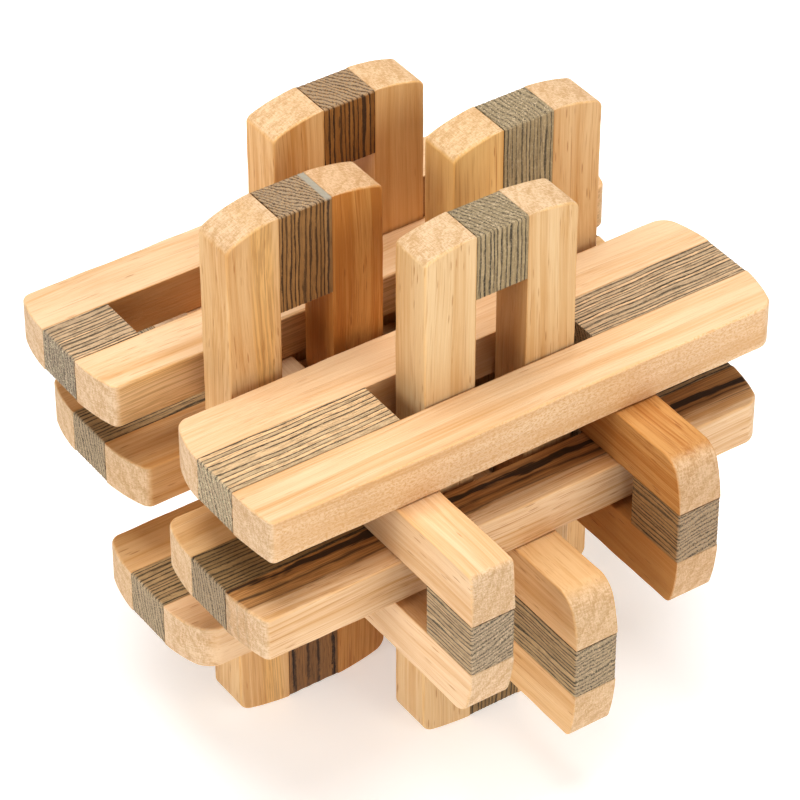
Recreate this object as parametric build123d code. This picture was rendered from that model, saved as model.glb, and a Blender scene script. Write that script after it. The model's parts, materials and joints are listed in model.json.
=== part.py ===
from build123d import *
import os

os.makedirs("parts", exist_ok=True)

# Wooden burr puzzle: twelve flat boards in three directions, locked through
# each other's slots. Every board is four glued pieces: two pale rails and a
# dark laminated block at each end. The slot is the gap between the blocks.
# Millimetres, +Z up. X runs left to right, Y runs front to rear.

strip = 8.8             # width of a rail, and of a block, so also of a slot
thick = 7.4             # board thickness
length = 90.0           # board length over its ends
crown = 1.8             # how far an end curves back over each rail
corner = 1.4            # rounding of a board's four corners
ease = 0.5              # sanded edge
rest_gap = 0.1          # air left where one board rests on another

half_wide = 1.5 * strip
half_thick = thick / 2

# Heights, stacked up from the table. Each board rests on the one before.
foot_block = 13.5       # bottom block of the front and rear uprights
low_depth_z = foot_block + rest_gap + half_wide
low_cross_z = low_depth_z - strip / 2 + rest_gap + half_thick
side_z = low_cross_z + half_thick + rest_gap + half_wide
mid_cross_z = low_depth_z + half_wide + rest_gap + half_thick
top_cross_z = side_z + half_wide + rest_gap + half_thick
upright_z = length / 2

# Lengths of the blocks, which set where each slot starts and stops.
end_block = 11.0        # leaves a long slot, with room for two boards
mid_block = 28.2        # leaves a short slot, with room for one board
left_rear_block = 8.5   # rear block of the left board
left_cap = 16.6         # top block of the left upright
side_block = side_z - half_wide - rest_gap   # a side board rests on this one

# Where the boards stand, seen from above. Each one is loose in the slots it
# goes through, so none stands quite square on the puzzle's middle.
left_x, right_x, low_depth_x = -19.3, 18.9, 0.8
left_upright = (-19.1, 0.9)
right_upright = (19.1, 0.5)
front_upright = (1.0, -18.3)
rear_upright = (0.7, 19.2)
top_front_y, mid_front_y = -17.9, -18.7
top_rear_y, mid_rear_y, low_cross_y = 19.6, 18.9, 0.9

# How far each lying board is slid along its own length.
slide_top_front, slide_top_rear = 0.3, -2.3
slide_mid_front, slide_mid_rear = -1.8, 1.4
slide_low_cross = -0.5
slide_left, slide_right, slide_low_depth = -4.1, -1.4, -1.9


def rail_outline():
    """Plan of one rail: straight inside, curved ends, round outer corners."""
    tip = length / 2
    shoulder = tip - crown
    with BuildSketch() as plan:
        with BuildLine():
            Line((0, -tip), (0, tip))
            TangentArc((0, tip), (strip, shoulder), tangent=(1, 0))
            Line((strip, shoulder), (strip, -shoulder))
            TangentArc((0, -tip), (strip, -shoulder), tangent=(1, 0))
        make_face()
        fillet(plan.vertices().group_by(Axis.X)[-1], corner)
    return plan.sketch


def make_rail():
    """One full-length rail, its glued inner face at x = 0."""
    body = extrude(rail_outline(), half_thick, both=True)
    faces = [body.faces().sort_by(Axis.Z)[end] for end in (0, -1)]
    rims = [edge for face in faces for edge in face.edges()]
    outside = [edge for edge in rims if edge.center().X > ease]
    return fillet(outside, ease)


def make_block(size):
    """One end block from y = 0 to its outer end at y = size."""
    body = Box(strip, size, thick, align=(Align.CENTER, Align.MIN, Align.CENTER))
    outer_end = body.faces().sort_by(Axis.Y)[-1]
    return fillet(outer_end.edges().filter_by(Axis.X), ease)


def make_board(low_block, high_block):
    """A board lying along Y: rails at -X and +X, then blocks at -Y and +Y."""
    rail = Pos(strip / 2, 0, 0) * make_rail()
    low = Rot(0, 0, 180) * make_block(low_block)
    high = make_block(high_block)
    return [
        mirror(rail, Plane.YZ),
        rail,
        Pos(0, low_block - length / 2, 0) * low,
        Pos(0, length / 2 - high_block, 0) * high,
    ]


# The three ways a board is turned, with the names its four pieces then have.
cross = (Rot(0, 0, -90), ["rear_rail", "front_rail", "left_block", "right_block"])
depth = (Rot(0, 90, 0), ["top_rail", "bottom_rail", "front_block", "rear_block"])
upright = (Rot(90, 0, 0), ["left_rail", "right_rail", "bottom_block", "top_block"])

# Each board: its name, its direction, its middle, its low and high blocks.
boards = [
    ("top_front_cross", cross, (slide_top_front, top_front_y, top_cross_z), mid_block, mid_block),
    ("top_rear_cross", cross, (slide_top_rear, top_rear_y, top_cross_z), end_block, end_block),
    ("middle_front_cross", cross, (slide_mid_front, mid_front_y, mid_cross_z), mid_block, mid_block),
    ("middle_rear_cross", cross, (slide_mid_rear, mid_rear_y, mid_cross_z), mid_block, mid_block),
    ("bottom_cross", cross, (slide_low_cross, low_cross_y, low_cross_z), end_block, end_block),
    ("left_depth", depth, (left_x, slide_left, side_z), end_block, left_rear_block),
    ("right_depth", depth, (right_x, slide_right, side_z), end_block, end_block),
    ("bottom_depth", depth, (low_depth_x, slide_low_depth, low_depth_z), mid_block, mid_block),
    ("left_upright", upright, (*left_upright, upright_z), side_block, left_cap),
    ("right_upright", upright, (*right_upright, upright_z), side_block, side_block),
    ("front_upright", upright, (*front_upright, upright_z), foot_block, end_block),
    ("rear_upright", upright, (*rear_upright, upright_z), foot_block, end_block),
]

nodes = {}
for name, (turn, pieces), middle, low_block, high_block in boards:
    solids = make_board(low_block, high_block)
    for piece, solid in zip(pieces, solids):
        nodes[f"{name}_{piece}"] = Pos(*middle) * turn * solid

# The finished puzzle stands with its footprint centred on the origin.
box = Compound(list(nodes.values())).bounding_box()
to_origin = Pos(-box.center().X, -box.center().Y, -box.min.Z)
for name, solid in nodes.items():
    export_step(to_origin * solid, f"parts/{name}.step")

print(len(nodes), "pieces,", box.size)
print("moved by", to_origin.position)
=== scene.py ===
# %% [markdown]
# # A wooden burr puzzle
# Twelve flat boards run in three directions and lock through each other's
# slots. Each board is glued up from four sticks of wood: two pale rails that
# run its whole length, and a dark laminated block between them at each end.
# Sanding has rounded the ends and softened every edge. This notebook builds
# those sticks as numpy surfaces, in millimetres, and gives them a wood that
# goes right through the stick, so that faces and end grain agree.

# %% Load the frame
import json
import math
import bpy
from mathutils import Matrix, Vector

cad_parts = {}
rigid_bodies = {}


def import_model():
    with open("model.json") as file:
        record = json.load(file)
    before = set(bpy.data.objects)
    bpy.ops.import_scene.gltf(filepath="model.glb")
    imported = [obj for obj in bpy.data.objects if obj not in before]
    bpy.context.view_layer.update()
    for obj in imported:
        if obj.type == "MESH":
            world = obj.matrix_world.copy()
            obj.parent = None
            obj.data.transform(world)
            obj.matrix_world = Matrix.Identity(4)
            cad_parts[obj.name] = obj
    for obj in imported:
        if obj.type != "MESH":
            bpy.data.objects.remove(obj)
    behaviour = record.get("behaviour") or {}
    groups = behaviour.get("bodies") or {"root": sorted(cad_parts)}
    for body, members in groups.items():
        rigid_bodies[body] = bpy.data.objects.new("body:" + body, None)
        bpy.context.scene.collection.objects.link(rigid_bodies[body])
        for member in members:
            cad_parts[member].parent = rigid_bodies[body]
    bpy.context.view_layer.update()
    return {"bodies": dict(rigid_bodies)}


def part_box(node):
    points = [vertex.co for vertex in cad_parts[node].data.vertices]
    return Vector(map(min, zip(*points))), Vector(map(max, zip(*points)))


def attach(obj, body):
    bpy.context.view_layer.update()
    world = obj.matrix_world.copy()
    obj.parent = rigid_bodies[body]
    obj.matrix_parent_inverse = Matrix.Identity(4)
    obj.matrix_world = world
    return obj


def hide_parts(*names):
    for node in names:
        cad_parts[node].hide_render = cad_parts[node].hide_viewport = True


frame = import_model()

from types import SimpleNamespace

import bmesh
import bpy
import numpy as np
from mathutils import Matrix, Vector

MM = 0.001
scene = bpy.context.scene

# %% [markdown]
# ## Where each board lies
# A board is the same thing whichever way it is turned, so its sticks are made
# lying down in the board's own axes: across its width, along its length and
# through its thickness. The frame then says where the board's middle is and
# how long and wide its sticks are. One could type those sizes again, but
# measured from the frame they can't drift away from the CAD model.

# %% The three directions and the boards' places
# Rows: the way across, the way along and the way through, in the row frame.
turns = {
    "cross": np.array([(0, -1, 0), (1, 0, 0), (0, 0, 1)], float),
    "depth": np.array([(0, 0, -1), (0, 1, 0), (1, 0, 0)], float),
    "upright": np.array([(1, 0, 0), (0, 0, 1), (0, -1, 0)], float),
}
piece_names = {
    "cross": ("rear_rail", "front_rail", "left_block", "right_block"),
    "depth": ("top_rail", "bottom_rail", "front_block", "rear_block"),
    "upright": ("left_rail", "right_rail", "bottom_block", "top_block"),
}


def node_box(node):
    """A node's lowest and highest corner as a numpy array, in millimetres."""
    return np.array([tuple(corner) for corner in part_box(node)]) / MM


def measure_board(name):
    """The board's turn, its middle, and its pieces as boxes in its own axes."""
    direction = name.split("_")[-1]
    turn = turns[direction]
    nodes = [f"{name}_{piece}" for piece in piece_names[direction]]
    rails = np.array([node_box(node) for node in nodes[:2]])
    middle = (rails.min((0, 1)) + rails.max((0, 1))) / 2
    boxes = {}
    for node in nodes:
        corners = (node_box(node) - middle) @ turn.T
        boxes[node] = np.array([corners.min(0), corners.max(0)])
    return {"name": name, "turn": turn, "middle": middle, "boxes": boxes}


boards = [measure_board(body.removesuffix("_board")) for body in frame["bodies"]]
for board in boards:
    print(board["name"], board["middle"].round(1))

# %% [markdown]
# ## One surface for every stick
# Rails and blocks are both flat slabs with softened edges. Such a slab can be
# drawn as rings. The first ring lies squeezed together on the middle line of
# the top face, the next ones spread out to the rim, roll over the edge, go
# down the side, roll under, and close up again below. A cube with a Bevel
# modifier would give the same edge everywhere; here the softening, the
# bowed ends and the sander's small unevenness are each a formula.

# %% The rounded outline
corner_steps = 9         # points on each rounded corner
end_steps = 9            # points across a flat end


def arc(centre, radius, start, stop, count):
    """Points on an arc: centre + radius * (cos, sin) of evenly spaced angles."""
    angle = np.radians(np.linspace(start, stop, count))
    return np.array(centre) + radius * np.column_stack((np.cos(angle), np.sin(angle)))


def rounded_outline(low, high, radii, side_steps):
    """A rectangle with rounded corners, and the core point behind each point.

    The loop runs up the low side, over the far end, down the high side and
    back over the near end. radii are the corners' radii in that order. The
    core points lie on the middle line in the same order, so that rings drawn
    from the outline towards the core never cross each other.
    """
    (x0, y0), (x1, y1) = low, high
    near_low, far_low, far_high, near_high = radii
    side_up = np.linspace((x0, y0 + near_low), (x0, y1 - far_low), side_steps)
    far_a = arc((x0 + far_low, y1 - far_low), far_low, 180, 90, corner_steps)[1:]
    far_b = arc((x1 - far_high, y1 - far_high), far_high, 90, 0, corner_steps)[:-1]
    side_down = np.linspace((x1, y1 - far_high), (x1, y0 + near_high), side_steps)
    near_b = arc((x1 - near_high, y0 + near_high), near_high, 0, -90, corner_steps)[1:]
    near_a = arc((x0 + near_low, y0 + near_low), near_low, 270, 180, corner_steps)[:-1]
    far_flat = np.linspace(far_a[-1], far_b[0], end_steps)[1:-1]
    near_flat = np.linspace(near_b[-1], near_a[0], end_steps)[1:-1]
    far_end = np.concatenate((far_a, far_flat, far_b))
    near_end = np.concatenate((near_b, near_flat, near_a))
    loop = np.concatenate((side_up, far_end, side_down, near_end))

    reach = min(x1 - x0, y1 - y0) / 2
    core_y = np.linspace(y0 + reach, y1 - reach, side_steps)
    core_y = np.concatenate((core_y, np.full(len(far_end), core_y[-1]),
                             core_y[::-1], np.full(len(near_end), core_y[0])))
    core = np.column_stack((np.full(len(core_y), (x0 + x1) / 2), core_y))
    return loop, core


def outward(loop):
    """Unit normals of a closed loop, from the difference of its neighbours."""
    step = np.roll(loop, -1, axis=0) - np.roll(loop, 1, axis=0)
    normal = np.column_stack((-step[:, 1], step[:, 0]))
    return normal / np.linalg.norm(normal, axis=1, keepdims=True)


sample, _ = rounded_outline((0, 0), (9, 90), (1, 1, 2, 2), 40)
print("points round a sample outline:", len(sample))

# %% The rings of a slab
flat_shares = np.array([0.0, 0.35, 0.7, 0.9, 0.985])
roll_angles = np.radians([0, 18, 36, 54, 72, 90])
print("rings from the middle line to the side:", len(flat_shares) + len(roll_angles))


def slab(loop, core, half, ease, side_rings, sides=None):
    """Rings of a slab of the given half thickness, and two marks per point.

    ease is the edge's radius at each point of the loop. A ring on the flat
    lies at core + share * (rim - core); a ring on the roll is set in by
    ease * (1 - sin a) and down by ease * (1 - cos a); a ring on the side
    keeps to the outline. The marks say how much a point faces outwards, and
    how much it is on an edge. sides(height, loop) may push the side rings out.
    """
    normal = outward(loop)
    ease = np.broadcast_to(ease, len(loop))[:, None]
    rim = loop - normal * ease
    rings, facing, edge = [], [], []
    for share in flat_shares:
        rings.append(np.column_stack((core + share * (rim - core), np.full(len(loop), half))))
        facing.append(np.zeros(len(loop)))
        edge.append(np.zeros(len(loop)))
    for angle in roll_angles:
        flat = loop - normal * ease * (1 - math.sin(angle))
        rings.append(np.column_stack((flat, half - ease * (1 - math.cos(angle)))))
        facing.append(np.full(len(loop), math.sin(angle)))
        edge.append(np.full(len(loop), math.sin(2 * angle)))
    for share in np.linspace(1, -1, side_rings + 2)[1:-1]:
        height = share * (half - ease)
        push = 0 if sides is None else sides(height, loop)
        rings.append(np.column_stack((loop + normal * push, height)))
        facing.append(np.ones(len(loop)))
        edge.append(np.zeros(len(loop)))
    for index in reversed(range(len(flat_shares) + len(roll_angles))):
        rings.append(rings[index] * (1, 1, -1))
        facing.append(facing[index])
        edge.append(edge[index])
    return np.array(rings), np.array(facing), np.array(edge), normal


# %% From rings to a finished piece
weld = 0.002             # points nearer than this are one point


def close_up(mesh):
    """Welds the squeezed rings at the two middle lines and turns faces outwards."""
    work = bmesh.new()
    work.from_mesh(mesh)
    bmesh.ops.remove_doubles(work, verts=work.verts, dist=weld * MM)
    bmesh.ops.recalc_face_normals(work, faces=work.faces)
    work.to_mesh(mesh)
    work.free()


def add_piece(name, points, marks, board, node):
    """A closed mesh from rings of points in the board's axes, in millimetres."""
    rows, columns = points.shape[:2]
    placed = (points.reshape(-1, 3) @ board["turn"] + board["middle"]) * MM
    row, column = np.meshgrid(np.arange(rows - 1), np.arange(columns), indexing="ij")
    beside = (column + 1) % columns
    quads = np.stack((row * columns + column, row * columns + beside,
                      (row + 1) * columns + beside, (row + 1) * columns + column), -1)
    mesh = bpy.data.meshes.new(name)
    mesh.from_pydata(placed.tolist(), [], quads.reshape(-1, 4).tolist())
    for mark, values in marks.items():
        layer = mesh.attributes.new(mark, "FLOAT", "POINT")
        layer.data.foreach_set("value", values.astype(np.float32).ravel())
    close_up(mesh)
    mesh.shade_smooth()
    piece = bpy.data.objects.new(name, mesh)
    scene.collection.objects.link(piece)
    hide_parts(node)
    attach(piece, board["name"] + "_board")
    return piece


# %% [markdown]
# ## The rails
# A rail is a straight stick whose ends were rounded on a sander after the
# board was glued: the end is square to the board at the glued side and falls
# back towards the outside, where a fair-sized corner takes it into the long
# edge. The glued side stays crisp. Each rail gets slightly different numbers,
# drawn from one seeded generator, because no two were sanded alike.

# %% How each end was sanded
# For a rail: the near end's and the far end's (fall, corner radius). Near is
# left, front or bottom; far is right, rear or top.
sanded_ends = {
    "top_front_cross_rear_rail": ((2.3, 1.3), (1.9, 2.0)),
    "top_front_cross_front_rail": ((0.9, 0.8), (2.2, 1.8)),
    "top_rear_cross_rear_rail": ((1.7, 1.2), (2.0, 1.5)),
    "top_rear_cross_front_rail": ((1.5, 1.0), (1.8, 1.4)),
    "middle_front_cross_rear_rail": ((1.6, 1.5), (1.7, 1.4)),
    "middle_front_cross_front_rail": ((1.3, 0.8), (2.1, 2.0)),
    "middle_rear_cross_front_rail": ((2.0, 1.0), (1.6, 1.2)),
    "bottom_cross_front_rail": ((2.4, 2.4), (1.6, 1.5)),
    "left_depth_top_rail": ((0.5, 0.8), (1.6, 1.2)),
    "left_depth_bottom_rail": ((1.9, 2.3), (1.8, 1.4)),
    "bottom_depth_top_rail": ((2.3, 2.5), (1.6, 1.6)),
    "bottom_depth_bottom_rail": ((1.4, 0.8), (1.8, 1.2)),
    "right_depth_top_rail": ((2.0, 2.4), (1.7, 1.4)),
    "right_depth_bottom_rail": ((1.5, 1.1), (1.8, 1.4)),
    "left_upright_left_rail": ((1.6, 1.6), (2.4, 1.0)),
    "left_upright_right_rail": ((1.6, 1.6), (1.5, 0.9)),
    "front_upright_left_rail": ((1.2, 1.8), (1.3, 0.8)),
    "front_upright_right_rail": ((1.5, 1.6), (1.2, 1.2)),
    "rear_upright_left_rail": ((1.6, 1.4), (1.9, 0.8)),
    "rear_upright_right_rail": ((1.6, 1.4), (1.7, 1.0)),
    "right_upright_left_rail": ((1.7, 1.4), (1.9, 0.8)),
    "right_upright_right_rail": ((1.6, 1.4), (1.8, 1.1)),
}
usual_end = ((1.8, 1.4), (1.8, 1.4))
print("rails with ends of their own:", len(sanded_ends))

# %% Make the rails
chance = np.random.default_rng(12)
outer_ease = 0.37        # softened outside edges
uneven_ease = 0.35       # and the share of it by which they vary
inner_ease = 0.10        # edges along the slot and the glue line
glued_corner = 0.25      # corners where the rail meets its blocks
sander_wave = 0.06       # unevenness of a hand-sanded face
rail_steps = 110         # points along each long side
rail_side_rings = 5      # rings down the side, between the rolled edges


def wave(position, lengths, phases):
    """Sum of sines over a position, each of its own wavelength, within +-1."""
    parts = [np.sin(2 * np.pi * position / length + phase)
             for length, phase in zip(lengths, phases)]
    return sum(parts) / len(parts)


def rail_rings(box, side, ends):
    """A rail's rings: a rounded outline whose ends fall back as x grows.

    With x measured from the glued side and s its share of the rail's width,
    the end falls back by fall * s * s, and y shrinks in the ratio
    (tip - that) / tip, so that the long sides stay straight.
    """
    width = box[1][0] - box[0][0]
    tip = (box[1][1] - box[0][1]) / 2
    half = (box[1][2] - box[0][2]) / 2
    (near_fall, near_corner), (far_fall, far_corner) = ends
    radii = (glued_corner, glued_corner, far_corner, near_corner)
    loop, core = rounded_outline((0, -tip), (width, tip), radii, rail_steps)
    share = np.clip(loop[:, 0] / width, 0, 1)
    fall = np.where(loop[:, 1] > 0, far_fall, near_fall) * share ** 2
    loop[:, 1] *= (tip - fall) / tip
    phases = chance.uniform(0, 2 * np.pi, 6)
    softness = outer_ease * (1 + uneven_ease * wave(loop[:, 1], (31, 13, 7), phases[:3]))
    outside = np.clip(share * 3 - 0.1, 0, 1)
    ease = inner_ease + (softness - inner_ease) * outside
    rings, facing, edge, normal = slab(loop, core, half, ease, rail_side_rings)
    bumps = sander_wave * (1 + wave(rings[..., 1], (47, 23, 15), phases[3:])) / 2
    rings[..., 0] -= bumps * np.clip(rings[..., 0] / width, 0, 1)
    rings[..., 2] *= 1 - bumps / half / 2
    rings[..., 0] = side * (rings[..., 0] + np.abs(box[:, 0]).min())
    end_grain = facing * np.abs(normal[:, 1])
    return rings, {"end_grain": end_grain, "arris": edge * np.clip(share * 3, 0.25, 1)}


rails = {}
for board in boards:
    for side, node in zip((-1, 1), list(board["boxes"])[:2]):
        ends = sanded_ends.get(node, usual_end)
        rings, marks = rail_rings(board["boxes"][node], side, ends)
        rails[node] = add_piece(f"{node}.stick", rings, marks, board, node)
print("rails:", len(rails), "from", rings.shape[0] * rings.shape[1], "points each")

# %% [markdown]
# ## The laminated blocks
# The dark blocks are sawn from a stack of dyed veneers. On the real thing the
# soft veneers sand away a little faster than the hard glue lines, so the
# surface is very finely ribbed. Bump alone would fake that, but the ribs are
# real here: the side rings of the slab are about a tenth of a millimetre
# apart, and each point is set in by a formula of its place in the stack. The
# same formula draws the dark lines in the material, so line and rib coincide.

# %% How each stack was sawn
usual_pitch = 0.76       # thickness of one veneer and its glue line
pitches = {
    "left_upright_bottom_block": 2.3,
    "left_upright_top_block": 0.80,
    "rear_upright_top_block": 0.86,
    "top_front_cross_left_block": 0.92,
    "top_front_cross_right_block": 0.68,
    "top_rear_cross_left_block": 0.70,
    "top_rear_cross_right_block": 0.70,
}
# The glue lines drift: (how far, radians per millimetre across, along, through).
drifts = (
    (0.11, (0.00, 0.17, 0.00)), (0.06, (0.20, 0.57, 0.10)), (0.20, (1.19, 0.02, 0.00)),
    (0.09, (2.93, 0.05, 0.30)), (0.10, (0.30, 0.11, 1.05)),
)
# How far a stack leans: sideways shift per millimetre through the board.
usual_lean = 0.2
leans = {
    "left_upright_top_block": -0.66, "front_upright_top_block": -0.45,
    "rear_upright_top_block": -0.60, "right_upright_top_block": -0.12,
    "top_front_cross_left_block": 0.35, "top_front_cross_right_block": 0.35,
    "top_rear_cross_left_block": 0.10, "left_depth_front_block": 0.30,
    "bottom_depth_front_block": 0.12, "right_depth_front_block": 0.16,
}


def sine(angle):
    """The sine of a numpy array, or of a shader's wire."""
    return np.sin(angle) if isinstance(angle, np.ndarray) else angle.maths("SINE", angle)


def stack_place(place, lean, pitch, phase):
    """Layers counted across the stack: x, plus the lean times z, plus a sum of
    sines of the place, over the pitch. It takes numpy arrays or wires alike."""
    x, y, z = place
    leaning = x + z * lean
    for size, (kx, ky, kz) in drifts:
        leaning = leaning + sine(x * kx + y * ky + z * kz + phase * 9) * size
    return leaning / pitch + phase


print("stacks with a pitch of their own:", len(pitches), "and with a lean:", len(leans))

# %% Make the blocks
rib_depth = 0.05         # how far the soft veneers are sanded in
most_proud = 0.07        # how far a block may stand out from its rails
outer_corner = 0.42      # the sanded corners at the board's end
slot_corner = 0.12       # the sawn corners at the slot
block_ease = 0.06        # edges along the glue line
block_step = 0.8         # spacing of the points along a block
block_side_rings = 96    # rings across the stack


def block_rings(box, outer, lean, pitch, phase):
    """A block's rings. Its slab lies in the through-along plane, and the
    slab's thickness is the board's width, so the side rings cross the stack.
    outer is 1 for the block at the board's far end and -1 at its near end."""
    (x0, y0, z0), (x1, y1, z1) = box
    steps = int((y1 - y0) / block_step)
    proud = chance.uniform(0.0, most_proud)
    low, high = (z0 - proud, y0), (z1 + proud, y1)
    near, far = outer_corner, slot_corner
    if outer > 0:
        high = (z1 + proud, y1 + proud)
        near, far = slot_corner, outer_corner
    loop, core = rounded_outline(low, high, (near, far, far, near), steps)
    half, middle = (x1 - x0) / 2, (x0 + x1) / 2

    def ribs(height, loop):
        place = (middle - height + 0 * loop[:, 1:2], loop[:, 1:2], loop[:, 0:1])
        return -rib_depth * np.sin(np.pi * stack_place(place, lean, pitch, phase)) ** 2

    rings, facing, edge, normal = slab(loop, core, half, block_ease, block_side_rings, ribs)
    end_grain = facing * np.abs(normal[:, 1])
    turned = np.stack((middle - rings[..., 2], rings[..., 1], rings[..., 0]), -1)
    return turned, {"end_grain": end_grain, "arris": edge}


blocks, phases = {}, {}
for board in boards:
    for outer, node in zip((-1, 1), list(board["boxes"])[2:]):
        phases[node] = chance.uniform(0, 1)
        lean, pitch = leans.get(node, usual_lean), pitches.get(node, usual_pitch)
        rings, marks = block_rings(board["boxes"][node], outer, lean, pitch, phases[node])
        blocks[node] = add_piece(f"{node}.stack", rings, marks, board, node)
print("blocks:", len(blocks))

# %% [markdown]
# ## Writing shader maths as Python
# A material is a graph of nodes, and graphs are hard to read as code. One
# small class wraps an output socket, so that `1 - mask * 0.5` builds the two
# Math nodes it needs. Every other node comes from one method, `node`, which
# takes the kind, its settings and the values or wires of its sockets.

# %% The Wire class
class Wire:
    """An output socket of a material's tree; without a socket, the tree itself."""

    def __init__(self, tree, socket=None):
        self.tree, self.socket = tree, socket

    def node(self, kind, settings=None, output=0, **inputs):
        """Adds a node: settings first, then each socket's value or wire."""
        made = self.tree.nodes.new("ShaderNode" + kind)
        for key, value in (settings or {}).items():
            setattr(made, key, value)
        for key, value in inputs.items():
            place = int(key[1:]) if key[0] == "s" and key[1:].isdigit() else key.replace("_", " ")
            if isinstance(value, Wire):
                self.tree.links.new(value.socket, made.inputs[place])
            else:
                made.inputs[place].default_value = value
        return Wire(self.tree, made.outputs[output])

    def maths(self, operation, *values):
        """A Math node on these values or wires."""
        return self.node("Math", {"operation": operation},
                         **{f"s{i}": value for i, value in enumerate(values)})

    def __add__(self, other):
        return self.maths("ADD", self, other)

    def __radd__(self, other):
        return self.maths("ADD", other, self)

    def __sub__(self, other):
        return self.maths("SUBTRACT", self, other)

    def __rsub__(self, other):
        return self.maths("SUBTRACT", other, self)

    def __mul__(self, other):
        return self.maths("MULTIPLY", self, other)

    def __rmul__(self, other):
        return self.maths("MULTIPLY", other, self)

    def __truediv__(self, other):
        return self.maths("DIVIDE", self, other)

    def __pow__(self, other):
        return self.maths("POWER", self, other)

    def unsigned(self):
        """This wire without its sign."""
        return self.maths("ABSOLUTE", self)

    def part(self):
        """What is left of this wire above its whole number."""
        return self.maths("FRACT", self)

    def clipped(self):
        """This wire, kept between 0 and 1."""
        return self.maths("MINIMUM", self.maths("MAXIMUM", self, 0.0), 1.0)

    def step(self, start, stop):
        """0 below start, 1 above stop, smooth between; start may be the larger."""
        low, high, ends = (start, stop, (0, 1)) if start < stop else (stop, start, (1, 0))
        return self.node("MapRange", {"interpolation_type": "SMOOTHSTEP"}, Value=self,
                         From_Min=low, From_Max=high, To_Min=ends[0], To_Max=ends[1])

    def mix(self, first, second):
        """Colour first where this wire is 0, second where it is 1."""
        return self.node("Mix", {"data_type": "RGBA"}, output=2, s0=self, s6=first, s7=second)

    def scaled(self, x, y, z):
        """A vector wire, stretched."""
        return self.node("VectorMath", {"operation": "MULTIPLY"}, s0=self, s1=(x, y, z))

    def shifted(self, other):
        """A vector wire, moved."""
        return self.node("VectorMath", {"operation": "ADD"}, s0=self, s1=other)

    def axis(self, index):
        """One coordinate of a vector wire."""
        return self.node("SeparateXYZ", output=index, s0=self)

    def noise(self, detail=2.0, roughness=0.5, output=0):
        """Noise read at this vector: its value, or its colour for output 1."""
        return self.node("TexNoise", output=output, Vector=self, Scale=1.0,
                         Detail=detail, Roughness=roughness)

    def mark(self, name):
        """A mark that add_piece left on the mesh."""
        return self.node("Attribute", {"attribute_name": name}, output=2)


def rgb(red, green, blue):
    """A colour socket's value."""
    return (red, green, blue, 1.0)


def tint(colour, *factors):
    """A colour with its channels scaled, as a colour socket's value."""
    return rgb(*(min(1.0, channel * factor) for channel, factor in zip(colour, factors)))


print("clean cream wood, a little darker:", tint((0.84, 0.60, 0.38), 0.9, 0.9, 0.9))

# %% A material's start and end
wood_sheen = 0.35


def new_material(name):
    """An empty material with a Principled shader, and a Wire to its tree."""
    material = bpy.data.materials.new(name)
    material.use_nodes = True
    return material, Wire(material.node_tree)


def finish_material(material, colour, roughness, height, depth):
    """Wires colour, roughness and bump to the material's Principled shader."""
    tree = material.node_tree
    shader = tree.nodes["Principled BSDF"]
    shader.inputs["Specular IOR Level"].default_value = wood_sheen
    bump = colour.node("Bump", Strength=1.0, Distance=depth * MM, Height=height)
    tree.links.new(colour.socket, shader.inputs["Base Color"])
    tree.links.new(roughness.socket, shader.inputs["Roughness"])
    tree.links.new(bump.socket, shader.inputs["Normal"])


def board_place(wire, board, offset):
    """Object coordinates in the board's own axes and in millimetres, and the
    same again shifted by the offset, so that no two sticks share a pattern.

    A Mapping node of the Texture kind undoes a move, a turn and a scale, so
    it is given the board's middle, its turn and one millimetre.
    """
    turn = Matrix(board["turn"].tolist()).transposed().to_euler()
    where = wire.node("TexCoord", output=3)
    local = wire.node("Mapping", {"vector_type": "TEXTURE"}, Vector=where,
                      Location=tuple(board["middle"] * MM), Rotation=tuple(turn),
                      Scale=(MM, MM, MM))
    return local, local.shifted(tuple(offset))


# %% [markdown]
# ## Pale rail wood
# The rails are a light, fine-pored hardwood. Four things make it read as that
# wood: soft bands where growth rings are cut lengthways, long thin streaks,
# short reddish-brown pores, and end grain where the same pores show as dots.
# All of them are one solid pattern in the rail's own axes, squeezed along the
# grain. An image texture would have to be wrapped and would break at the
# edges; a solid pattern doesn't.

# %% What a rail's marks are drawn from
wander = 1.6             # how far the grain strays sideways


def bent_grain(grain):
    """The grain's axes, which wander sideways slowly as they run along."""
    drift = grain.scaled(0.07, 0.022, 0.07).noise(1.0, output=1)
    drift = drift.node("VectorMath", {"operation": "MULTIPLY_ADD"}, s0=drift,
                       s1=(2 * wander, 0.0, 2 * wander), s2=(-wander, 0.0, -wander))
    return grain.shifted(drift)


def late_wood(bent, offset, figure):
    """1 on the dark side of each growth ring: the distance from a pith outside
    the rail, over the ring's width, counts the rings, and its part fades in
    slowly and drops at the next ring."""
    x, z = bent.axis(0), bent.axis(2)
    pith_x, pith_z = figure["pith"]
    far = ((x - offset[0] + pith_x) ** 2.0 + (z - offset[2] + pith_z) ** 2.0) ** 0.5
    ring = far / figure["ring"] + bent.scaled(0.3, 0.01, 0.3).noise(1.0) * 1.5
    ring = ring.part()
    return ring.step(0.30, 0.92) * ring.step(1.0, 0.94)


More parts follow.
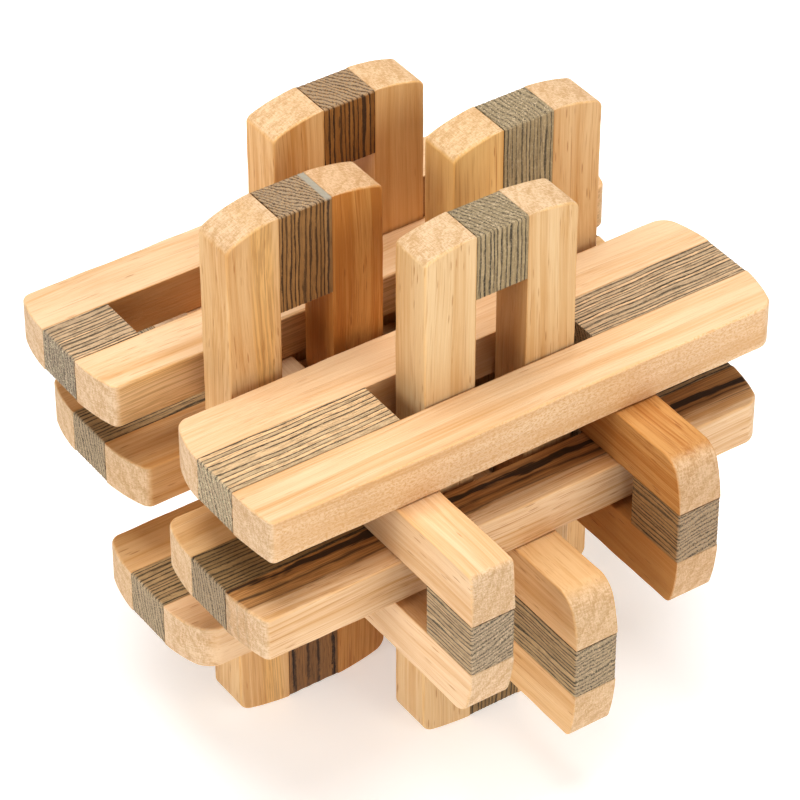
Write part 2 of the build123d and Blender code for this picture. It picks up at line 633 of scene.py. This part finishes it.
def read_rail(wire, board, offset, figure):
    """The wires of a rail by name: its axes, its marks and its noises. Where
    the coordinates are scaled down along the grain, noise is drawn out into
    bands and fibres."""
    place, grain = board_place(wire, board, offset)
    bent = bent_grain(grain)
    return SimpleNamespace(
        place=place, grain=grain, bent=bent,
        across=place.axis(0).unsigned(), along=place.axis(1),
        end=wire.mark("end_grain"), arris=wire.mark("arris"),
        late=late_wood(bent, offset, figure),
        broad=bent.scaled(0.30, 0.010, 0.30).noise(2.0).step(0.32, 0.68),
        streak=bent.scaled(1.7, 0.013, 1.7).noise(3.0, 0.65).step(0.40, 0.64),
        fine=bent.scaled(3.8, 0.065, 3.8).noise(3.0, 0.7).step(0.34, 0.66),
        hair=bent.scaled(3.0, 0.035, 3.0).noise(3.0, 0.7),
        cloud=grain.scaled(0.16, 0.05, 0.16).noise(2.0),
        fuzz=place.scaled(4.2, 1.4, 4.2).noise(3.0, 0.75),
    )


# %% The marks of a rail
outer_face = (12.75, 13.05)      # from the board's middle line, with a soft edge
# slot_wall is where the rails' painted slot shade goes.
slot_wall = (4.75, 4.45)
cut_wood = (0.76, 0.555, 0.365)     # what the end grain of every rail tends to
black_vein = (0.05, 0.025, 0.012)


def growth(at, tone, figure):
    """The clean wood, darkened by rings, broad bands, streaks and clouds."""
    dark = (at.late * figure["rings"] * (0.3 + 0.7 * at.broad) + at.broad * figure["broad"]
            + at.streak * (0.4 + at.broad) * figure["streaks"]
            + (at.fine - 0.5) * figure["fine"] + (at.cloud - 0.5) * 0.6)
    return dark.clipped().mix(rgb(*tone), tint(tone, *figure["deep"]))


def pore_marks(at, figure):
    """Two masks: short pores, which are a drawn few of a field of stretched
    cells, and long thin vessel lines."""
    cells = at.bent.scaled(2.1, 0.24, 2.1)
    near = cells.node("TexVoronoi", {"feature": "F1"}, output=0, Vector=cells, Scale=1.0)
    lot = cells.node("TexVoronoi", {"feature": "F1"}, output=1, Vector=cells, Scale=1.0)
    share = figure["pores"]
    chosen = lot.node("SeparateColor", output=0, s0=lot).step(share, share - 0.1)
    vessel = at.bent.scaled(5.5, 0.055, 5.5).noise(1.0).step(0.60, 0.72)
    return near.step(0.30, 0.14) * chosen, vessel


def with_speckle(colour, at, tone, figure):
    """Speckle on the outer side, where the saw met curly grain."""
    speckle = at.grain.scaled(3.2, 1.8, 3.2).noise(3.0, 0.8).step(0.47, 0.60)
    speckle = speckle * at.across.step(*outer_face) * (1 - at.end)
    return (speckle * figure["speckle"]).mix(colour, tint(tone, 0.80, 0.62, 0.40))


def with_end_grain(colour, at, tone):
    """End grain: fuzz and a two-way hatch of cut fibres. Its colour is much
    alike on every rail, whatever the sides are."""
    hatch = (at.place.scaled(5.0, 0.4, 1.1).noise(2.0, 0.6)
             + at.place.scaled(1.1, 0.4, 5.0).noise(2.0, 0.6))
    fuzzy = (at.fuzz - 0.5) * 2.2 + (hatch - 1.0) * 2.2 + at.broad * 0.25 + at.late * 0.3 + 0.25
    cut = tuple(0.2 * own + 0.8 * usual for own, usual in zip(tone, cut_wood))
    end_colour = fuzzy.clipped().mix(tint(cut, 1.05, 1.07, 1.10), tint(cut, 0.78, 0.67, 0.53))
    return (at.end.step(0.25, 0.75) * 0.9).mix(colour, end_colour)


def with_heartwood(colour, at, offset, figure):
    """Bands of brown heartwood, and near-black veins that sway. A band is
    (start, stop, strength, colour) and a vein (centre, slope, half its width,
    strength), all measured out from the board's middle line."""
    sway = at.place.scaled(0.10, 0.050, 0.12).shifted(tuple(offset)).noise(2.0) - 0.5
    lengthways = 1 - at.end * 0.8
    for start, stop, strength, heart in figure["heart"]:
        inside = at.across + sway * 1.5 + (at.hair - 0.5) * 2.5
        band = inside.step(start - 0.4, start + 0.4) * inside.step(stop + 0.6, stop - 0.6)
        streaked = at.hair.step(0.42, 0.58).mix(tint(heart, 1.25, 1.30, 1.40),
                                                tint(heart, 0.78, 0.70, 0.62))
        colour = (band * lengthways * strength).mix(colour, streaked)
    for centre, slope, half, strength in figure["veins"]:
        aside = at.across - at.along * slope + sway * 2.5 - centre
        spread = (at.place.scaled(0.3, 0.07, 0.3).noise(3.0, 0.75) * 3.4 - 1.2) * half
        vein = (aside.unsigned() - spread + (at.hair - 0.5) * 1.8).step(0.22, -0.14)
        colour = (vein * lengthways * strength).mix(colour, rgb(*black_vein))
    return colour


# %% Wood for a rail
rail_relief = 0.05       # depth of the bump, in millimetres


def rail_wood(name, board, offset, tone, figure):
    """tone is the clean wood's colour; figure holds the strength of each mark."""
    material, wire = new_material(name)
    at = read_rail(wire, board, offset, figure)
    colour = growth(at, tone, figure)
    pore, vessel = pore_marks(at, figure)
    colour = (pore * (0.62 - at.end * 0.3)).mix(colour, tint(tone, 0.60, 0.36, 0.20))
    colour = (vessel * (1 - at.end) * figure["vessels"]).mix(colour, tint(tone, 0.66, 0.44, 0.26))
    colour = with_speckle(colour, at, tone, figure)
    colour = with_end_grain(colour, at, tone)
    # Sanded edges keep a little more colour. The walls of the slot get painted shade: a deeper, warmer
    # tone that stands in for the shadow and warm bounced light inside the slot.
    colour = (at.arris * (0.15 + 0.5 * at.fine)).mix(colour, tint(tone, 1.04, 0.92, 0.70))
    painted_slot_shade = at.across.step(*slot_wall) * (1 - at.end) * (0.75 + at.fine * 0.25) * figure["painted_slot_shade"]
    colour = painted_slot_shade.mix(colour, tint(tone, 0.70, 0.50, 0.28))
    colour = with_heartwood(colour, at, offset, figure)

    rough = 0.46 + at.fine * 0.12 + at.end * 0.2
    height = (at.fine * 0.35 + at.streak * 0.2 - pore * 1.0 - vessel * 0.4
              + at.end * (at.fuzz - 0.5) * 3.0)
    finish_material(material, colour, rough, height, rail_relief)
    return material


print("end grain", cut_wood, "and black veins", black_vein)

# %% [markdown]
# ## Dyed laminated wood
# The blocks are veneers dyed grey, olive or brown and glued into a stack. The
# layers differ a little from each other, the glue lines between them are
# almost black and uneven, and short dark pores run along the veneers. The
# lines use the same formula as the ribs of the mesh.

# %% What a block's marks are drawn from
def read_block(wire, board, lean, pitch, phase, dye):
    """The wires of a block by name: its marks, its noises and its layers. The
    count of layers is the mesh's own, made a little ragged by noise."""
    place, grain = board_place(wire, board, (phase * 40, phase * 170, phase * 70))
    end = wire.mark("end_grain")
    axes = (place.axis(0), place.axis(1), place.axis(2))
    wobble = (grain.scaled(1.3, 0.14, 1.3).noise(2.0, 0.6) - 0.5) * dye["wobble"]
    jag = (grain.scaled(4.5, 1.6, 4.5).noise(2.0, 0.7) - 0.5) * (0.15 + end * 0.9)
    count = stack_place(axes, lean, pitch, phase) + wobble + jag
    layer = count.maths("FLOOR", count)
    return SimpleNamespace(
        across=axes[0], end=end, edge=wire.mark("arris"), part=count.part(),
        lot=layer.node("TexWhiteNoise", {"noise_dimensions": "1D"}, W=layer * 1.37 + phase * 9),
        odd=(layer * 0.5).part() * 2.0,
        fibre=grain.scaled(4.5, 0.13, 4.5).noise(3.0, 0.65).step(0.30, 0.70),
        dash=grain.scaled(8.0, 0.40, 8.0).noise(2.0, 0.6).step(0.52, 0.66),
        fuzz=grain.scaled(3.6, 2.0, 3.6).noise(4.0, 0.8),
        grit=grain.scaled(2.2, 0.5, 2.2).noise(2.0, 0.6),
    )


def glue_lines(at, dye):
    """1 on a glue line, where the part of a layer is farthest from a half."""
    ragged = ((at.fibre - 0.5) * 0.35 + (at.fuzz - 0.5) * (0.5 + at.end * 1.8)
              + (at.grit - 0.5) * 0.7 + at.end * 0.04)
    near_line = (at.part - 0.5).unsigned() * 2.0 + ragged * dye["ragged"]
    glue = near_line.step(dye["line_from"], dye["line_from"] + dye["line_soft"])
    return glue * (0.70 + at.lot * 0.30)


# %% Wood for a block
block_relief = 0.06      # depth of the bump, in millimetres


def block_wood(name, board, lean, pitch, phase, dye):
    """dye holds two veneer colours, the glue's colour and how bold each mark is."""
    tone, second, line = dye["tone"], dye["second"], dye["line"]
    material, wire = new_material(name)
    at = read_block(wire, board, lean, pitch, phase, dye)
    glue = glue_lines(at, dye)

    veneer = at.odd * dye["contrast"] + (at.lot - 0.5) * 0.7 + (at.fibre - 0.5) * 0.6
    colour = veneer.clipped().mix(rgb(*tone), rgb(*second))
    colour = (at.end * 0.80).mix(colour, rgb(*dye["cut"]))
    colour = (at.dash * 0.5).mix(colour, tint(tone, 0.42, 0.38, 0.34))
    colour = (glue * (1 - at.end * 0.05)).mix(colour, rgb(*line))
    bright = at.fuzz.step(0.52, 0.60) * (dye["flecks"] + at.end * 0.50)
    colour = bright.mix(colour, tint(second, 1.55, 1.65, 1.9))
    for start, stop, filler in dye["filler"]:
        strip = (at.across + (at.fuzz - 0.5) * 0.4).step(start, stop) * (0.05 + at.end * 0.85)
        colour = strip.mix(colour, rgb(*filler))
    colour = (at.edge * 0.55).mix(colour, rgb(*line))

    rough = 0.55 + at.fibre * 0.12 + at.end * 0.15
    height = (at.fibre * 0.5 - at.dash * 0.7 - glue * 0.7
              + (at.fuzz - 0.5) * (0.6 + at.end * 2.4))
    finish_material(material, colour, rough, height, block_relief)
    return material


print("bump on rails and blocks:", rail_relief, block_relief)

# %% [markdown]
# ## Which stick is which wood
# No two sticks came off the same plank. A few named woods and dyes cover them
# all, and two tables say which stick is what. A material for each stick could
# be tuned by hand instead, but then a change to the wood would have to be made
# forty-eight times. Every rail has its line in the first table, with what
# makes its figure unusual; blocks that aren't in the second take the grey dye.

# %% Woods
woods = {
    "cream": (0.84, 0.603, 0.378),
    "straw": (0.82, 0.59, 0.335),
    "honey": (0.79, 0.53, 0.275),
    "gold": (0.86, 0.56, 0.23),
    "brass": (0.90, 0.585, 0.275),
    "orange": (0.71, 0.37, 0.115),
    "russet": (0.59, 0.31, 0.105),
}
brown_heart, orange_heart = (0.44, 0.22, 0.07), (0.66, 0.39, 0.13)
# ring is a growth ring's width, pores the share of cells that hold a pore and
# deep the darkest growth's tint; the other numbers are strengths, one of them that of the painted shade
# on the slot walls.
usual_figure = {
    "ring": 2.6, "rings": 0.25, "broad": 0.30, "streaks": 0.26, "fine": 0.26,
    "pores": 0.22, "vessels": 0.45, "speckle": 0.0, "painted_slot_shade": 0.6,
    "deep": (0.78, 0.61, 0.40), "heart": (), "veins": (),
}
rail_finishes = {
    "top_front_cross_rear_rail": ("cream", {
        "streaks": 0.2, "broad": 0.2, "vessels": 0.25, "pores": 0.05}),
    "top_front_cross_front_rail": ("cream", {"speckle": 0.75, "pores": 0.08, "vessels": 0.3}),
    "top_rear_cross_rear_rail": ("cream", {
        # The slot wall of this rail gets the full painted shade.
        "streaks": 0.15, "broad": 0.15, "pores": 0.12, "painted_slot_shade": 1.0}),
    # The orange band over this rail's outer face is partly a real heartwood streak and partly painted
    # shade on that face.
    "top_rear_cross_front_rail": ("cream", {
        "streaks": 0.25, "pores": 0.05, "heart": ((13.0, 16.0, 0.6, orange_heart),)}),
    "middle_rear_cross_rear_rail": ("honey", {}),
    "middle_rear_cross_front_rail": ("honey", {"streaks": 0.6}),
    "middle_front_cross_rear_rail": ("honey", {"streaks": 0.4}),
    "middle_front_cross_front_rail": ("cream", {
        "streaks": 0.6, "vessels": 0.8,
        "heart": ((3.0, 9.8, 0.92, brown_heart),),
        "veins": ((6.3, 0.03, 1.00, 0.97), (8.2, 0.02, 0.25, 0.8), (9.8, 0.01, 0.15, 0.6))}),
    "bottom_cross_rear_rail": ("honey", {}),
    "bottom_cross_front_rail": ("cream", {}),
    "left_depth_top_rail": ("cream", {"vessels": 0.2, "streaks": 0.2}),
    "left_depth_bottom_rail": ("cream", {"streaks": 0.25}),
    "bottom_depth_top_rail": ("honey", {"streaks": 0.5}),
    "bottom_depth_bottom_rail": ("honey", {"pores": 0.3}),
    "right_depth_top_rail": ("russet", {"streaks": 0.7, "vessels": 0.8, "fine": 0.6}),
    "right_depth_bottom_rail": ("russet", {"streaks": 0.25, "vessels": 0.1}),
    "left_upright_left_rail": ("honey", {
        "streaks": 0.5, "vessels": 0.6, "heart": ((5.6, 8.9, 0.60, orange_heart),)}),
    "left_upright_right_rail": ("orange", {"streaks": 0.9, "vessels": 0.7, "fine": 0.6}),
    "right_upright_left_rail": ("gold", {"vessels": 0.8}),
    "right_upright_right_rail": ("honey", {"pores": 0.45, "vessels": 0.6}),
    "front_upright_left_rail": ("straw", {"streaks": 0.3, "fine": 0.18, "pores": 0.3}),
    "front_upright_right_rail": ("straw", {"vessels": 0.6, "fine": 0.16, "pores": 0.2}),
    "rear_upright_left_rail": ("brass", {"vessels": 0.7, "streaks": 0.5}),
    "rear_upright_right_rail": ("brass", {"streaks": 0.25, "pores": 0.06, "vessels": 0.15}),
}
print(len(woods), "woods for", len(rail_finishes), "rails")

# %% Dyes
# tone and second are the veneers' two colours, cut that of their ends. A glue
# line starts line_from of the way from a layer's middle to its edge. A filler
# is a strip of putty: (start, stop, colour), across the board.
usual_dye = {
    "tone": (0.46, 0.32, 0.18), "second": (0.61, 0.44, 0.26), "cut": (0.53, 0.405, 0.275),
    "line": (0.045, 0.035, 0.02), "line_from": 0.58, "line_soft": 0.26,
    "contrast": 0.3, "wobble": 0.35, "ragged": 0.85, "flecks": 0.15, "filler": (),
}
dyes = {
    "grey": {},
    "olive": {
        "tone": (0.41, 0.305, 0.165), "second": (0.53, 0.40, 0.235), "cut": (0.44, 0.34, 0.21),
        "flecks": 0.25},
    "striped": {
        "tone": (0.52, 0.37, 0.23), "second": (0.78, 0.52, 0.30), "contrast": 0.65,
        "line_from": 0.55},
    "brown": {
        "tone": (0.36, 0.19, 0.065), "second": (0.52, 0.29, 0.11),
        "line": (0.045, 0.02, 0.009), "line_from": 0.53,
        "ragged": 0.7, "wobble": 0.55, "flecks": 0.05},
    "walnut": {
        "tone": (0.37, 0.21, 0.085), "second": (0.50, 0.30, 0.135),
        "line": (0.04, 0.025, 0.015)},
    "bark": {
        "tone": (0.30, 0.19, 0.08), "second": (0.42, 0.27, 0.12),
        "line": (0.03, 0.02, 0.01)},
    "khaki": {"tone": (0.46, 0.32, 0.165), "second": (0.58, 0.41, 0.215), "wobble": 0.6},
    "tobacco": {
        "tone": (0.26, 0.13, 0.05), "second": (0.46, 0.24, 0.09),
        "line": (0.03, 0.015, 0.01), "line_from": 0.70, "wobble": 0.15, "flecks": 0.0},
}
# Some dyes are another dye with a few things changed.
dyes["veneered"] = {
    **dyes["striped"], "tone": (0.58, 0.42, 0.25), "second": (0.80, 0.54, 0.30),
    "line": (0.03, 0.018, 0.01), "line_from": 0.70, "line_soft": 0.16,
    "contrast": 0.8, "wobble": 0.15, "ragged": 0.45}
dyes["grey_striped"] = {**dyes["striped"], "cut": (0.38, 0.30, 0.225)}
dyes["umber"] = {**dyes["brown"], "tone": (0.38, 0.17, 0.04), "second": (0.50, 0.25, 0.07)}
dyes["brown_filled"] = {**dyes["brown"], "filler": ((3.2, 3.5, (0.50, 0.45, 0.36)),)}
block_dyes = {
    "top_front_cross_left_block": "veneered",
    "top_front_cross_right_block": "striped",
    "top_rear_cross_left_block": "grey_striped",
    "top_rear_cross_right_block": "grey_striped",
    "middle_front_cross_left_block": "bark",
    "middle_rear_cross_left_block": "khaki",
    "bottom_cross_left_block": "khaki",
    "bottom_depth_front_block": "khaki",
    "right_depth_front_block": "walnut",
    "left_upright_top_block": "brown_filled",
    "left_upright_bottom_block": "tobacco",
    "rear_upright_top_block": "umber",
    "right_upright_top_block": "olive",
    "front_upright_top_block": "olive",
    "front_upright_bottom_block": "bark",
}
print(len(dyes), "dyes for", len(blocks), "blocks, of which named here:", len(block_dyes))

# %% Dress the pieces
far_off = 200            # each rail reads its own stretch of the noise
for board in boards:
    for node in board["boxes"]:
        if node in rails:
            wood, marks = rail_finishes[node]
            offset = chance.uniform(-far_off, far_off, 3)
            figure = {**usual_figure, "pith": chance.uniform(20, 50, 2), **marks}
            material = rail_wood(f"{node}_wood", board, offset, woods[wood], figure)
            rails[node].data.materials.append(material)
        else:
            dye = {**usual_dye, **dyes[block_dyes.get(node, "grey")]}
            lean, pitch = leans.get(node, usual_lean), pitches.get(node, usual_pitch)
            material = block_wood(f"{node}_wood", board, lean, pitch, phases[node], dye)
            blocks[node].data.materials.append(material)
print("materials:", len(bpy.data.materials))

# %% [markdown]
# ## Floor, light and camera
# The puzzle stands on a plain white table in a light tent: a wide soft light
# overhead, weaker ones from the front and from the left, and a dim white glow
# all round. Only a trace of shadow is wanted under it, which more lights would
# not give without bleaching the wood, so the table itself glows a little. The
# camera looks down from the front left with a long lens, which keeps the
# boards' edges nearly parallel.

# %% The floor
table_reach = 1.5
table_white = rgb(0.80, 0.80, 0.80)
table_glow = 0.40
floor_mesh = bpy.data.meshes.new("floor")
floor_corners = [(x * table_reach, y * table_reach, 0) for x, y in ((-1, -1), (1, -1), (1, 1), (-1, 1))]
floor_mesh.from_pydata(floor_corners, [], [(0, 1, 2, 3)])
floor = bpy.data.objects.new("floor", floor_mesh)
scene.collection.objects.link(floor)
floor_paint = bpy.data.materials.new("table_white")
floor_paint.use_nodes = True
paint = floor_paint.node_tree.nodes["Principled BSDF"].inputs
paint["Base Color"].default_value = table_white
paint["Roughness"].default_value = 0.9
paint["Emission Color"].default_value = rgb(1, 1, 1)
paint["Emission Strength"].default_value = table_glow
floor_mesh.materials.append(floor_paint)
print("table:", 2 * table_reach, "m wide")

# %% The lights
def soft_light(name, size, place, target, power, colour):
    """A square area light of that size, aimed at the target, in metres and watts."""
    light = bpy.data.lights.new(name, "AREA")
    light.size, light.energy, light.color = size, power, colour
    lamp = bpy.data.objects.new(name, light)
    lamp.location = place
    lamp.rotation_euler = (Vector(target) - Vector(place)).to_track_quat("-Z", "Y").to_euler()
    scene.collection.objects.link(lamp)


puzzle_heart = (0, 0, 0.045)
soft_light("overhead", 0.7, (0.0, 0.05, 0.90), puzzle_heart, 7.8, (1.0, 0.99, 0.98))
soft_light("front_fill", 0.6, (0.35, -1.0, 0.45), puzzle_heart, 4.2, (1.0, 1.0, 0.97))
soft_light("left_fill", 0.5, (-0.95, -0.10, 0.40), puzzle_heart, 3.5, (0.98, 1.0, 1.0))

tent_glow = 0.22
world = bpy.data.worlds.new("tent")
scene.world = world
world.use_nodes = True
backdrop = world.node_tree.nodes["Background"].inputs
backdrop["Color"].default_value = rgb(1, 1, 1)
backdrop["Strength"].default_value = tent_glow
scene.view_settings.view_transform = "Standard"
scene.view_settings.exposure = 0.1
scene.view_settings.gamma = 0.87
print("lights:", [light.name for light in bpy.data.lights])

# %% The camera
view_left = math.radians(34.61)      # how far left of the front it stands
view_up = math.radians(38.61)        # and how steeply it looks down
view_distance = 0.5962
aim = Vector((-0.00028, 0.00341, 0.04516))
lens = bpy.data.cameras.new("camera")
lens.lens, lens.sensor_width = 180.6, 36.0
lens.clip_start, lens.clip_end = 0.05, 10.0
camera = bpy.data.objects.new("camera", lens)
back = Vector((-math.sin(view_left) * math.cos(view_up),
               -math.cos(view_left) * math.cos(view_up),
               math.sin(view_up)))
camera.location = aim + back * view_distance
camera.rotation_euler = (-back).to_track_quat("-Z", "Y").to_euler()
scene.collection.objects.link(camera)
scene.camera = camera
print("camera at", [round(value, 3) for value in camera.location])
